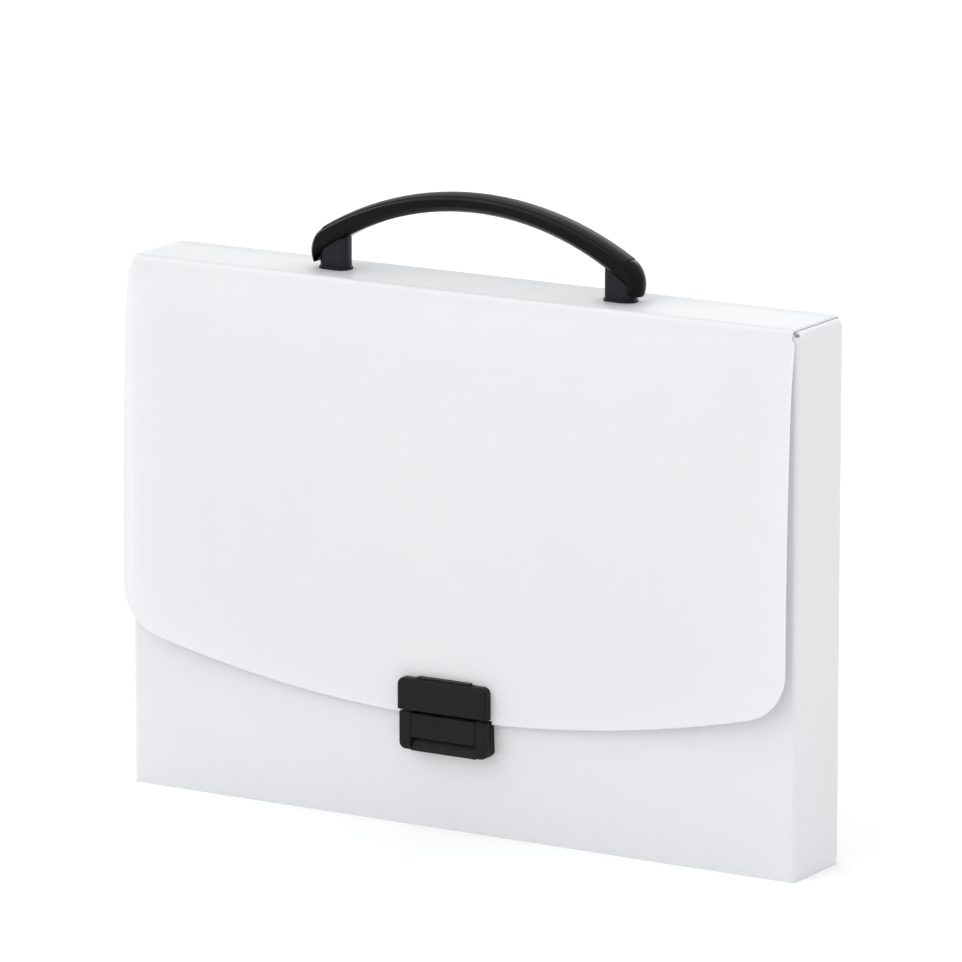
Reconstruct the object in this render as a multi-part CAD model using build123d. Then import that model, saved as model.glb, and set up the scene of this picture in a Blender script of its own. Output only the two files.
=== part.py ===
from build123d import *
import os
from math import cos, radians, sin, sqrt, tan

# Folded case: outer sizes of the body, flat sheet and its folds
case_width = 330
case_depth = 40
case_height = 235
sheet = 1.0
fold_radius = 2.5
front_bulge = 5.4
side_gap = 0.3
weld_tab = 12.5
weld_flange = 13
tab_relief = 0.7
gusset_bend = 2.0
gusset_inset = 0.2
back_inset = 2.0
cut_margin = 1.0

# Scoop that is cut down into the front panel
scoop_half_width = 137.2
scoop_floor = 153.5
scoop_taper = 17.4
scoop_corner = 14

# Lid, its two creases and the hanging flap
lid_gap = 0.3
crease_reach = 3.5
score_offset = 1.0
score_width = 0.6
score_depth = 0.25
flap_overhang = 1.3
flap_length = 184.4
flap_slope = 11
flap_knee_slope = 3
flap_straight_height = 100
flap_hem_radius = 600
flap_corner = 22
flap_shoulder = 3
dust_length = 25
dust_corner = 6

# Latch: keeper on the flap, base and swinging lever on the case
latch_play = 0.4
latch_rise = 2.4
latch_split_gap = 0.6
keeper_half_width = 22.1
keeper_height = 14
keeper_depth = 4
keeper_corner = 3
keeper_bevel = 0.8
keeper_tab_half_width = 13
keeper_tab_rise = 0.8
keeper_plate = 1.2
keeper_plate_corner = 1.5
rib_pitch = 1.3
rib_groove = 0.5
rib_depth = 0.3
rib_margin = 1.6
latch_step = 1.2
base_half_width = 21.8
base_height = 16.2
base_plate = 1.9
base_plate_inset = 0.8
lever_half_width = 15.2
lever_gap = 0.15
lever_depth = 3.7
lever_back_gap = 0.5
lever_top_gap = 0.4
lever_lip = 0.4
lever_ramp_top = 10.7
lever_ramp_depth = 2.9
lever_edge = 0.3
hub_radius = 1.6
pivot_inset = 2.3
pivot_drop = 2.1
trunnion_radius = 1.0
trunnion_reach = 2.0
trunnion_play = 0.05
stud_spacing = 37.2
stud_radius = 1.5
stud_clearance = 0.1
stud_head_radius = 2.4
stud_head_height = 0.7

# Carrying handle
handle_shift = 2.6
handle_reach = 80.5
handle_rise = 39.1
crown_radius = 142
knuckle_radius = 12
tip_rise = 2.7
grip_width = 13
grip_thickness = 7.1
crown_rise = 3.2
palm_radius = 129
palm_chamfer = 1.1
heel_fillet = 2.5
heel_inset = 6.5
toe_inset = 3.6
inlay_width = 9.7
inlay_depth = 2.6
inlay_gap = 0.15
inlay_half_length = 72.5
post_spacing = 140.6
post_length = 13.6
post_width = 8.8
post_seat = 2.0
post_corner = 3.4
post_gap = 0.1
plinth_margin = 0.6
plinth_height = 1.2
neck_depth = 0.2
neck_height = 0.5
handle_plate_length = 24
handle_plate_width = 14
handle_plate_thickness = 1.5
handle_plate_corner = 2.5
screw_radius = 1.5
screw_length = 10
screw_clearance = 0.2
pilot_clearance = 0.05
pilot_extra = 0.5
screw_head_radius = 2.9
screw_head_height = 1.9
screw_head_chamfer = 0.6
drive_radius = 1.2
drive_slot = 0.8
drive_depth = 1.0

# Planes and edges shared by several pieces
half_width = case_width / 2
front_y = -case_depth / 2
back_y = case_depth / 2
panel_half = half_width - fold_radius
crease_z = case_height - crease_reach
lid_half = panel_half - lid_gap
lid_front_y = front_y - lid_gap - sheet
lid_back_y = back_y
bend_z = case_height - fold_radius
dust_top = case_height - sheet - lid_gap
gusset_top = dust_top - gusset_bend
gusset_front = front_y + fold_radius + gusset_inset
gusset_back = back_y - sheet - fold_radius - gusset_inset
flap_y = front_y - front_bulge - latch_play - keeper_plate - sheet
flap_low = case_height - flap_length
latch_z = flap_low + latch_rise
keeper_low = latch_z + latch_split_gap
keeper_high = keeper_low + keeper_height
keeper_front = flap_y - keeper_depth
base_high = latch_z - latch_split_gap
base_low = base_high - base_height
base_front = keeper_front + latch_step
pivot_y = base_front + pivot_inset
pivot_z = base_high - pivot_drop
pocket_y = base_front + lever_depth + lever_back_gap
stud_x = stud_spacing / 2
base_stud_z = (base_low + base_high) / 2
keeper_stud_z = (keeper_low + keeper_high) / 2
post_x = post_spacing / 2
handle_y = -handle_shift
handle_top = case_height + handle_rise
crown_z = handle_top - crown_radius
palm_top = handle_top - grip_thickness
palm_center_z = palm_top - palm_radius
knuckle_x = handle_reach - knuckle_radius
knuckle_z = crown_z + sqrt((crown_radius - knuckle_radius) ** 2 - knuckle_x ** 2)


# Solid between two opposite corners
def block(x0, x1, y0, y1, z0, z1):
    middle = Pos((x0 + x1) / 2, (y0 + y1) / 2, (z0 + z1) / 2)
    return middle * Box(x1 - x0, y1 - y0, z1 - z0)


# Face drawn in Y and Z, carried along X
def along_x(face, x0, x1):
    return extrude(Plane.YZ.offset(x0) * face, amount=x1 - x0)


# Face drawn in X and Z, carried along Y
def along_y(face, y0, y1):
    return extrude(Plane.XZ.offset(-y1) * face, amount=y1 - y0)


# Face drawn in X and Y, carried along Z
def along_z(face, z0, z1):
    return extrude(Plane.XY.offset(z0) * face, amount=z1 - z0)


# Round bar that runs along Y
def bar_y(x, z, radius, y0, y1):
    return along_y(Pos(x, z) * Circle(radius), y0, y1)


# Flat piece between two corners of a drawing
def panel(u0, u1, v0, v1):
    return Pos((u0 + u1) / 2, (v0 + v1) / 2) * Rectangle(u1 - u0, v1 - v0)


# Section of a fold in the sheet, between its outer and inner radius
def fold(u, v, radius, start, sweep):
    outer = CenterArc((u, v), radius, start, sweep)
    inner = CenterArc((u, v), radius - sheet, start, sweep)
    return make_face([outer, Line(outer @ 1, inner @ 1), inner, Line(inner @ 0, outer @ 0)])


def both_sides(solid):
    return solid + mirror(solid, Plane.YZ)


# The front panel swells by x squared across it, and by a cubic up it that is highest at a third of
# the case height. Both are polar forms, so the Bezier patch below holds the shape exactly.
def swell_across(u, v):
    return 1 - u * v / panel_half ** 2


def swell_upward(u, v, w):
    pairs = u * v + v * w + u * w
    return 27 / 4 * ((u + v + w) / 3 - 2 * pairs / 3 + u * v * w)


# Part of the swelled front, set back from its outer face and with a depth along Y
def swelled(half, z0, z1, setback, depth):
    low = z0 / case_height
    high = z1 / case_height
    across = [
        (-half, swell_across(-half, -half)),
        (0, swell_across(-half, half)),
        (half, swell_across(half, half)),
    ]
    upward = [
        (z0, swell_upward(low, low, low)),
        ((2 * z0 + z1) / 3, swell_upward(low, low, high)),
        ((z0 + 2 * z1) / 3, swell_upward(low, high, high)),
        (z1, swell_upward(high, high, high)),
    ]
    points = [
        [(x, front_y + setback - front_bulge * f * g, z) for z, g in upward] for x, f in across
    ]
    return Solid.extrude(Face.make_bezier_surface(points), Vector(0, depth, 0))


def scoop_cutter():
    lean = (case_height - scoop_floor) * tan(radians(scoop_taper))
    top = case_height
    floor_half = scoop_half_width - lean
    corners = [(-scoop_half_width, top), (-floor_half, scoop_floor)]
    corners += [(floor_half, scoop_floor), (scoop_half_width, top)]
    outline = make_face(Polyline(*corners, close=True))
    outline = fillet(outline.vertices().sort_by(Axis.Y)[:2], scoop_corner)
    return along_y(outline, front_y - 2 * front_bulge - sheet, front_y + 2 * sheet)


# One side gusset with its front fold and its rear tab, seen from above
def gusset():
    rear_y = back_y - sheet
    plan = fold(panel_half, front_y + fold_radius, fold_radius, 270, 90)
    plan += panel(half_width - sheet, half_width, front_y + fold_radius, rear_y - fold_radius)
    plan += fold(panel_half, rear_y - fold_radius, fold_radius, 0, 90)
    plan += panel(panel_half - weld_tab, panel_half, rear_y - sheet, rear_y)
    wall = along_z(plan, 0, gusset_top)
    lip = fold(half_width - gusset_bend, gusset_top, gusset_bend, 0, 90)
    wall += along_y(lip, gusset_front, gusset_back)
    relief_top = fold_radius + tab_relief
    tab = (panel_half - weld_tab, panel_half, rear_y - fold_radius, rear_y)
    wall -= block(*tab, 0, relief_top)
    wall -= block(*tab, crease_z - lid_gap, gusset_top)
    return wall


def make_front_sheet():
    ear_top = bend_z + lid_gap
    front = Part() + swelled(panel_half, 0, ear_top, 0, sheet)
    front += both_sides(gusset())
    front -= scoop_cutter()
    for x in (-stud_x, stud_x):
        hole = stud_radius + stud_clearance
        front -= bar_y(x, base_stud_z, hole, front_y - 2 * front_bulge, front_y + sheet)
    return front


def make_back_sheet():
    low = fold_radius
    wall_half = half_width - back_inset
    sheet_back = block(-wall_half, wall_half, back_y - sheet, back_y, low, crease_z)
    bend = fold(back_y - fold_radius, low, fold_radius, 270, 90)
    sheet_back += along_x(bend, -lid_half, lid_half)
    bottom_front = front_y + sheet + side_gap
    bottom_half = half_width - sheet - side_gap
    sheet_back += block(-lid_half, lid_half, bottom_front, back_y - fold_radius, 0, sheet)
    sheet_back += block(-bottom_half, bottom_half, gusset_front, gusset_back, 0, sheet)
    flange_half = panel_half - weld_tab
    sheet_back += swelled(flange_half, 0, weld_flange, sheet, sheet)
    return sheet_back


# The flap's outer surface, from the end of the front crease down to its hem
def flap_path():
    center = Vector(lid_front_y + fold_radius, bend_z)
    turn = radians(flap_slope)
    down = Vector(-sin(turn), -cos(turn))
    bend_end = center + Vector(-cos(turn), sin(turn)) * fold_radius
    start = bend_end + down * ((bend_end.Y - crease_z) / cos(turn))
    return bend_end, start, down


def make_back_crease():
    bend = fold(lid_back_y - fold_radius, bend_z, fold_radius, 0, 90)
    bend += panel(back_y - crease_reach, back_y - fold_radius, case_height - sheet, case_height)
    bend += panel(back_y - sheet, back_y, crease_z, bend_z)
    return along_x(bend, -lid_half, lid_half)


def make_front_crease():
    bend_end, start, down = flap_path()
    u = lid_front_y + fold_radius
    bend = fold(u, bend_z, fold_radius, 90, 90 - flap_slope)
    bend += panel(u, lid_front_y + crease_reach, case_height - sheet, case_height)
    inward = Vector(cos(radians(flap_slope)), -sin(radians(flap_slope))) * sheet
    level = start + Vector(sheet / cos(radians(flap_slope)), 0)
    arm = Polyline(bend_end, start, level, bend_end + inward, close=True)
    bend += make_face(arm)
    return along_x(bend, -lid_half, lid_half)


def make_top_panel():
    front = lid_front_y + crease_reach
    back = back_y - crease_reach
    lid = block(-lid_half, lid_half, front, back, case_height - sheet, case_height)
    edge = case_height - score_depth
    near = (score_offset - score_width / 2, case_height)
    far = (score_offset + score_width / 2, case_height)
    groove = make_face(Polyline(near, (score_offset, edge), far, close=True))
    lid -= along_x(groove, -lid_half, lid_half)
    for x in (-post_x, post_x):
        hole = Pos(x, handle_y) * Circle(screw_radius + screw_clearance)
        lid -= along_z(hole, case_height - 2 * sheet, case_height + sheet)
    return lid


# Side view of the hanging flap: a tight and a slack arc, then straight down to the hem
def flap_profile():
    start = flap_path()[1]
    steep = radians(flap_slope)
    knee = radians(flap_knee_slope)
    drop = start.Y - flap_straight_height
    swing = start.X - flap_y
    upper = Vector(cos(knee) - cos(steep), sin(steep) - sin(knee))
    lower = Vector(1 - cos(knee), sin(knee))
    share = upper.Y * lower.X - lower.Y * upper.X
    upper_radius = (drop * lower.X - swing * lower.Y) / share
    lower_radius = (swing * upper.Y - drop * upper.X) / share

    def leaning(turn):
        return Vector(cos(turn), -sin(turn))

    upper_center = start + leaning(steep) * upper_radius
    joint = upper_center - leaning(knee) * upper_radius
    lower_center = joint + leaning(knee) * lower_radius
    end = lower_center - Vector(lower_radius, 0)
    foot = Vector(end.X, flap_low)
    upper_middle = upper_center - leaning((steep + knee) / 2) * upper_radius
    lower_middle = lower_center - leaning(knee / 2) * lower_radius
    edges = []
    for back in (Vector(0, 0), Vector(sheet, 0)):
        edges.append(ThreePointArc(start + back, upper_middle + back, joint + back))
        edges.append(ThreePointArc(joint + back, lower_middle + back, end + back))
        edges.append(Line(end + back, foot + back))
    edges.append(Line(start, start + Vector(sheet, 0)))
    edges.append(Line(foot, foot + Vector(sheet, 0)))
    return make_face(edges)


def make_flap_panel():
    half = panel_half + flap_overhang
    flap = along_x(flap_profile(), -half, half)
    hem_side = flap_low + flap_hem_radius - sqrt(flap_hem_radius ** 2 - half ** 2)
    hem = ThreePointArc((-half, hem_side), (0, flap_low), (half, hem_side))
    sides = Polyline(
        (half, hem_side),
        (half, crease_z - flap_shoulder),
        (lid_half, crease_z),
        (-lid_half, crease_z),
        (-half, crease_z - flap_shoulder),
        (-half, hem_side),
    )
    outline = make_face([hem, *sides.edges()])
    outline = fillet(outline.vertices().sort_by(Axis.Y)[:2], flap_corner)
    flap &= along_y(outline, flap_y - sheet, front_y)
    notch = keeper_half_width + latch_split_gap
    flap -= block(-notch, notch, flap_y - sheet, front_y, flap_low - cut_margin, latch_z)
    for x in (-stud_x, stud_x):
        hole = stud_radius + stud_clearance
        flap -= bar_y(x, keeper_stud_z, hole, flap_y - sheet, flap_y + 2 * sheet)
    return flap


def make_latch_keeper():
    body = panel(-keeper_half_width, keeper_half_width, keeper_low, keeper_high)
    body = fillet(body.vertices().sort_by(Axis.Y)[2:], keeper_corner)
    keeper = along_y(body, keeper_front, flap_y)
    front_rim = keeper.faces().sort_by(Axis.Y)[0].edges()
    keeper = chamfer(front_rim, keeper_bevel)
    tab_top = keeper_high + keeper_tab_rise
    tab_front = keeper_front + keeper_bevel + rib_depth
    tab = (-keeper_tab_half_width, keeper_tab_half_width, tab_front, flap_y)
    keeper += block(*tab, keeper_high, tab_top)
    rib_span = keeper_height - 2 * rib_margin
    rib_count = int(rib_span / rib_pitch) + 1
    rib_half = keeper_half_width - keeper_corner
    for index in range(rib_count):
        z = keeper_stud_z + (index - (rib_count - 1) / 2) * rib_pitch
        cut = (-rib_half, rib_half, keeper_front - rib_depth, keeper_front + rib_depth)
        keeper -= block(*cut, z - rib_groove / 2, z + rib_groove / 2)
    for x in (-stud_x, stud_x):
        keeper += bar_y(x, keeper_stud_z, stud_radius, flap_y, flap_y + sheet + keeper_plate)
    return keeper


def make_keeper_backplate():
    half = keeper_half_width - latch_step
    inset = latch_play
    back = flap_y + sheet
    plate = block(-half, half, back, back + keeper_plate, keeper_low + inset, keeper_high - inset)
    plate = fillet(plate.edges().filter_by(Axis.Y), keeper_plate_corner)
    for x in (-stud_x, stud_x):
        plate -= bar_y(x, keeper_stud_z, stud_radius + stud_clearance, back, back + keeper_plate)
    return plate


# What lies behind the outer face of the swelled front panel, round the latch
def behind_panel(setback):
    half = base_half_width + base_plate
    return swelled(half, base_low - base_plate, base_high + base_plate, setback, case_depth)


def base_plate_back():
    depth = front_bulge * swell_upward(*[base_low / case_height] * 3)
    return front_y - depth + sheet + base_plate


def make_latch_base():
    outline = panel(-base_half_width, base_half_width, base_low, base_high)
    outline = fillet(outline.vertices().sort_by(Axis.Y)[:2], keeper_corner)
    base = along_y(outline, base_front, front_y)
    rim = base.faces().sort_by(Axis.Y)[0].edges()
    base = chamfer(rim, lever_edge)
    base -= behind_panel(0)
    pocket = lever_half_width + lever_gap
    pocket_low = base_low - cut_margin
    pocket_high = base_high + cut_margin
    base -= block(-pocket, pocket, base_front - cut_margin, pocket_y, pocket_low, pocket_high)
    reach = lever_half_width + trunnion_reach + 2 * lever_gap
    bore = Plane.YZ.offset(-reach) * Pos(pivot_y, pivot_z) * Circle(trunnion_radius + trunnion_play)
    base -= extrude(bore, amount=2 * reach)
    head_y = base_plate_back()
    for x in (-stud_x, stud_x):
        stud = bar_y(x, base_stud_z, stud_radius, pocket_y, head_y)
        stud += bar_y(x, base_stud_z, stud_head_radius, head_y, head_y + stud_head_height)
        base += stud
    return base


def make_base_backplate():
    half = base_half_width - base_plate_inset
    back = base_plate_back()
    low = base_low + base_plate_inset
    high = base_high - base_plate_inset
    plate = block(-half, half, front_y - 2 * front_bulge, back, low, high)
    plate &= behind_panel(sheet)
    for x in (-stud_x, stud_x):
        hole = stud_radius + stud_clearance
        plate -= bar_y(x, base_stud_z, hole, front_y - 2 * front_bulge, back)
    return plate


def make_latch_lever():
    foot_z = base_low - lever_lip
    ramp_z = base_high - lever_ramp_top
    back = base_front + lever_depth
    top = base_high - lever_top_gap
    outline = make_face(Polyline(
        (base_front, top),
        (base_front, ramp_z),
        (base_front + lever_ramp_depth, ramp_z - lever_edge),
        (base_front + lever_gap, base_low),
        (base_front + lever_gap, foot_z),
        (back, foot_z),
        (back, pivot_z),
        (pivot_y, top),
        close=True,
    ))
    outline += Pos(pivot_y, pivot_z) * Circle(hub_radius)
    lever = along_x(outline, -lever_half_width, lever_half_width)
    reach = lever_half_width + trunnion_reach
    pin = Plane.YZ.offset(-reach) * Pos(pivot_y, pivot_z) * Circle(trunnion_radius)
    return lever + extrude(pin, amount=2 * reach)


def make_dust_flap(side):
    outer = half_width - gusset_bend - side_gap
    inner = outer - dust_length
    plate = block(inner, outer, gusset_front, gusset_back, dust_top - sheet, dust_top)
    corners = plate.edges().filter_by(Axis.Z).sort_by(Axis.X)[:2]
    plate = chamfer(corners, dust_corner)
    return plate if side > 0 else mirror(plate, Plane.YZ)


# Disc about an axis along Y, with flat cheeks and a bulging edge
def crowned_disc(x, z, radius):
    half = grip_width / 2
    rim = radius - crown_rise
    edge = ThreePointArc((rim, -half), (radius, 0), (rim, half))
    sides = Polyline((rim, half), (0, half), (0, -half), (rim, -half))
    return Pos(x, 0, z) * revolve(make_face([edge, *sides.edges()]), Axis.Y)


# The crown is a sector of one large disc, and each knuckle a small disc inside its end
def grip_crown():
    reach = 2 * crown_radius
    tangent = Vector(knuckle_x, knuckle_z - crown_z).normalized() * reach
    wedge = make_face(Polyline(
        (0, crown_z),
        (tangent.X, crown_z + tangent.Y),
        (-tangent.X, crown_z + tangent.Y),
        close=True,
    ))
    crown = crowned_disc(0, crown_z, crown_radius) & along_y(wedge, -grip_width, grip_width)
    for side in (-1, 1):
        crown += crowned_disc(side * knuckle_x, knuckle_z, knuckle_radius)
    return crown


# Everything under the palm, which ends at the heels, and under the tips
def under_grip():
    palm_x = handle_reach - heel_inset
    palm_z = palm_center_z + sqrt(palm_radius ** 2 - palm_x ** 2)
    tip_z = case_height + tip_rise
    toe = (handle_reach - toe_inset, tip_z)
    outside = (handle_reach + grip_width, tip_z)
    below = (outside[0], case_height - crown_radius)
    right = [(palm_x, palm_z), toe, outside, below]
    left = [(-x, z) for x, z in reversed(right)]
    palm = ThreePointArc((-palm_x, palm_z), (0, palm_top), (palm_x, palm_z))
    outline = make_face([palm, *Polyline(*right, *left).edges()])
    toes = [v for v in outline.vertices() if palm_x + cut_margin < abs(v.X) < toe[0] + cut_margin]
    return along_y(fillet(toes, heel_fillet), -grip_width, grip_width)


# Everything outside the floor of the inlay's groove, over the groove's length
def inlay_zone(half_length, half_width_y):
    top = handle_top + cut_margin
    zone = block(-half_length, half_length, -half_width_y, half_width_y, case_height, top)
    return zone - bar_y(0, crown_z, crown_radius - inlay_depth, -grip_width, grip_width)


def make_handle_grip():
    grip = grip_crown() - under_grip()
    arcs = grip.edges().filter_by(GeomType.CIRCLE)
    palm = [e for e in arcs if abs(e.radius - palm_radius) < palm_chamfer / 2]
    grip = chamfer(palm, palm_chamfer)
    grip -= inlay_zone(inlay_half_length + inlay_gap, inlay_width / 2 + inlay_gap)
    for x in (-post_x, post_x):
        grip -= Pos(x) * along_z(post_section(post_gap), case_height, handle_top) & post_limit(post_gap)
    return Pos(0, handle_y) * grip


def make_handle_inlay():
    crown = crowned_disc(0, crown_z, crown_radius)
    return Pos(0, handle_y) * (crown & inlay_zone(inlay_half_length, inlay_width / 2))


def post_section(margin):
    return RectangleRounded(post_length + 2 * margin, post_width + 2 * margin, post_corner)


# The posts end on an arc inside the grip that follows the palm
def post_limit(margin):
    return bar_y(0, palm_center_z, palm_radius + post_seat + margin, -grip_width, grip_width)


def make_handle_post(x):
    plinth_top = case_height + plinth_height
    neck_top = plinth_top + neck_height
    post = along_z(post_section(plinth_margin), case_height, plinth_top)
    post += along_z(post_section(-neck_depth), plinth_top, neck_top)
    post += along_z(post_section(0), neck_top, handle_top)
    grip_depth = screw_length - sheet - handle_plate_thickness
    pilot_top = case_height + grip_depth + pilot_extra
    post -= along_z(Circle(screw_radius + pilot_clearance), case_height, pilot_top)
    return Pos(0, handle_y) * (Pos(x) * post & post_limit(0))


def make_handle_plate(x):
    plate = RectangleRounded(handle_plate_length, handle_plate_width, handle_plate_corner)
    plate -= Circle(screw_radius + screw_clearance)
    top = case_height - sheet
    return Pos(x, handle_y) * along_z(plate, top - handle_plate_thickness, top)


def make_handle_screw(x):
    seat = case_height - sheet - handle_plate_thickness
    screw = along_z(Circle(screw_radius), seat, seat + screw_length)
    head = along_z(Circle(screw_head_radius), seat - screw_head_height, seat)
    head = chamfer(head.edges().sort_by(Axis.Z)[0], screw_head_chamfer)
    screw += head
    slot = panel(-drive_radius, drive_radius, -drive_slot / 2, drive_slot / 2)
    cross = slot + Rot(0, 0, 90) * slot
    under = seat - screw_head_height
    screw -= along_z(cross, under, under + drive_depth)
    return Pos(x, handle_y) * screw


def main():
    os.makedirs("parts", exist_ok=True)
    nodes = {
        "front_sheet": make_front_sheet(),
        "back_sheet": make_back_sheet(),
        "latch_base": make_latch_base(),
        "base_backplate": make_base_backplate(),
        "latch_lever": make_latch_lever(),
        "dust_flap_left": make_dust_flap(-1),
        "dust_flap_right": make_dust_flap(1),
        "back_crease": make_back_crease(),
        "top_panel": make_top_panel(),
        "handle_grip": make_handle_grip(),
        "handle_inlay": make_handle_inlay(),
        "handle_post_left": make_handle_post(-post_x),
        "handle_post_right": make_handle_post(post_x),
        "handle_plate_left": make_handle_plate(-post_x),
        "handle_plate_right": make_handle_plate(post_x),
        "handle_screws": Compound([make_handle_screw(-post_x), make_handle_screw(post_x)]),
        "front_crease": make_front_crease(),
        "flap_panel": make_flap_panel(),
        "latch_keeper": make_latch_keeper(),
        "keeper_backplate": make_keeper_backplate(),
    }
    for name, solid in nodes.items():
        export_step(solid, f"parts/{name}.step")


main()
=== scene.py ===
from math import asin, atan2, cos, hypot, pi, radians, sin, sqrt, tan

import bmesh
import bpy
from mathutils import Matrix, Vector


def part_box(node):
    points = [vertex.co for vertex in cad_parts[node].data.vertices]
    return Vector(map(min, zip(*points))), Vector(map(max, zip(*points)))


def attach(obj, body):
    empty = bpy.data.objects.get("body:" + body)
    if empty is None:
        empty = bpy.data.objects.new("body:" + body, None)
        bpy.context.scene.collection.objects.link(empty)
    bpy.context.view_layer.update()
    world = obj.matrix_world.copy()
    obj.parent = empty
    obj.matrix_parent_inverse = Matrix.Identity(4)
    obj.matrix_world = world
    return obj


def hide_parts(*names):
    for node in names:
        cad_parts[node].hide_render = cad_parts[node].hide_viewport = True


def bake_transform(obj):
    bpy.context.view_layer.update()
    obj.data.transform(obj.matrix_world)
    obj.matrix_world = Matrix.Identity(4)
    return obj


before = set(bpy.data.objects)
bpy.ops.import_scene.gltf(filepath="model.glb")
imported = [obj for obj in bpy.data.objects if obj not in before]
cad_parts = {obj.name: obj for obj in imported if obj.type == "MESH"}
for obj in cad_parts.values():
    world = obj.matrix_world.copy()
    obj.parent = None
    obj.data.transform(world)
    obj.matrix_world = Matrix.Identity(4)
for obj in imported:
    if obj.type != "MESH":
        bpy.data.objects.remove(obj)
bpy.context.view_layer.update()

# Pieces are modelled in millimetres, and finishPiece brings them to metres
mm = 0.001
imagePixels = 962
# Places closer than this count as one, in millimetres
touch = 0.01
# A face whose normal has this much of a direction faces it
facing = 0.99


def nodeBox(name):
    low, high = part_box(name)
    return low / mm, high / mm


# Camera, floor, world and lamps

view = {
    "azimuth": 31.14,
    "elevation": 12.35,
    "distance": 3399.2,
    "focalPixels": 7992,
    "target": (0.4, 0, 149.4),
    "sensorWidth": 36,
}


def makeCamera():
    turn, rise = radians(view["azimuth"]), radians(view["elevation"])
    back = Vector((sin(turn) * cos(rise), -cos(turn) * cos(rise), sin(rise)))
    data = bpy.data.cameras.new("studioCamera")
    data.sensor_width = view["sensorWidth"]
    data.lens = view["sensorWidth"] * view["focalPixels"] / imagePixels
    data.clip_end = 100
    camera = bpy.data.objects.new("studioCamera", data)
    camera.location = (Vector(view["target"]) + back * view["distance"]) * mm
    camera.rotation_mode = "QUATERNION"
    camera.rotation_quaternion = (-back).to_track_quat("-Z", "Y")
    bpy.context.scene.collection.objects.link(camera)
    bpy.context.scene.camera = camera


stage = {
    "floorSize": 16000,
    "floorColour": (0.80, 0.80, 0.80, 1),
    "floorSeen": (1.02, 1.02, 1.02, 1),
    "floorRoughness": 0.9,
    "skyLight": 1.05,
    "keyStrength": 0.5,
    "keyAngle": 50,
    "keyTurn": (48, 0, -38),
}


def linkNodes(tree, *pairs):
    for source, target in pairs:
        tree.links.new(source, target)


# 1 where a ray is the camera's own or was reflected or let through by a glossy surface
def seenRays(tree):
    path = tree.nodes.new("ShaderNodeLightPath")
    first = tree.nodes.new("ShaderNodeMath")
    first.operation = "MAXIMUM"
    second = tree.nodes.new("ShaderNodeMath")
    second.operation = "MAXIMUM"
    linkNodes(
        tree,
        (path.outputs["Is Camera Ray"], first.inputs[0]),
        (path.outputs["Is Glossy Ray"], first.inputs[1]),
        (first.outputs[0], second.inputs[0]),
        (path.outputs["Is Transmission Ray"], second.inputs[1]),
    )
    return second.outputs[0]


def makeFloor():
    bm = bmesh.new()
    bmesh.ops.create_grid(bm, x_segments=1, y_segments=1, size=stage["floorSize"] * mm / 2)
    mesh = bpy.data.meshes.new("studioFloor")
    bm.to_mesh(mesh)
    bm.free()
    floor = bpy.data.objects.new("studioFloor", mesh)
    bpy.context.scene.collection.objects.link(floor)
    material = bpy.data.materials.new("paleFloor")
    material.use_nodes = True
    tree = material.node_tree
    shader = tree.nodes["Principled BSDF"]
    shader.inputs["Roughness"].default_value = stage["floorRoughness"]
    shader.inputs["Specular IOR Level"].default_value = 0.0
    mix = tree.nodes.new("ShaderNodeMix")
    mix.data_type = "RGBA"
    mix.inputs["A"].default_value = stage["floorColour"]
    mix.inputs["B"].default_value = stage["floorSeen"]
    linkNodes(
        tree,
        (seenRays(tree), mix.inputs["Factor"]),
        (mix.outputs["Result"], shader.inputs["Base Color"]),
    )
    floor.data.materials.append(material)


def makeWorld():
    world = bpy.data.worlds.new("softWorld")
    bpy.context.scene.world = world
    world.use_nodes = True
    tree = world.node_tree
    background = tree.nodes["Background"]
    background.inputs["Color"].default_value = (1, 1, 1, 1)
    mix = tree.nodes.new("ShaderNodeMix")
    mix.data_type = "FLOAT"
    mix.inputs["A"].default_value = stage["skyLight"]
    mix.inputs["B"].default_value = 1.0
    linkNodes(
        tree,
        (seenRays(tree), mix.inputs["Factor"]),
        (mix.outputs["Result"], background.inputs["Strength"]),
    )


def makeKeyLamp():
    data = bpy.data.lights.new("keyLamp", "SUN")
    data.energy = stage["keyStrength"]
    data.angle = radians(stage["keyAngle"])
    lamp = bpy.data.objects.new("keyLamp", data)
    lamp.rotation_euler = [radians(angle) for angle in stage["keyTurn"]]
    bpy.context.scene.collection.objects.link(lamp)


shineLamps = {
    "shineTop": {"place": (-350, 250, 1700), "size": 1.1, "power": 3},
    "shineBack": {"place": (-250, 1250, 1000), "size": 0.7, "power": 2.5},
}


# Weak lamps that show in reflections only, and leave matt surfaces as they are
def makeShineLamps():
    aim = Vector(view["target"])
    for name, values in shineLamps.items():
        data = bpy.data.lights.new(name, "AREA")
        data.size = values["size"]
        data.energy = values["power"]
        lamp = bpy.data.objects.new(name, data)
        place = Vector(values["place"])
        lamp.location = place * mm
        lamp.rotation_mode = "QUATERNION"
        lamp.rotation_quaternion = (aim - place).to_track_quat("-Z", "Y")
        lamp.visible_diffuse = False
        lamp.visible_transmission = False
        bpy.context.scene.collection.objects.link(lamp)


bpy.context.scene.view_settings.view_transform = "Standard"
makeCamera()
makeFloor()
makeWorld()
makeKeyLamp()
makeShineLamps()
print("camera, floor and light are set")


# Shader node groups shared by the materials

def newGroup(name, inputs, outputs):
    group = bpy.data.node_groups.new(name, "ShaderNodeTree")
    for label, kind, value in inputs:
        socket = group.interface.new_socket(label, in_out="INPUT", socket_type=kind)
        socket.default_value = value
    for label, kind in outputs:
        group.interface.new_socket(label, in_out="OUTPUT", socket_type=kind)
    entry = group.nodes.new("NodeGroupInput")
    result = group.nodes.new("NodeGroupOutput")
    return group, entry, result


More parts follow.
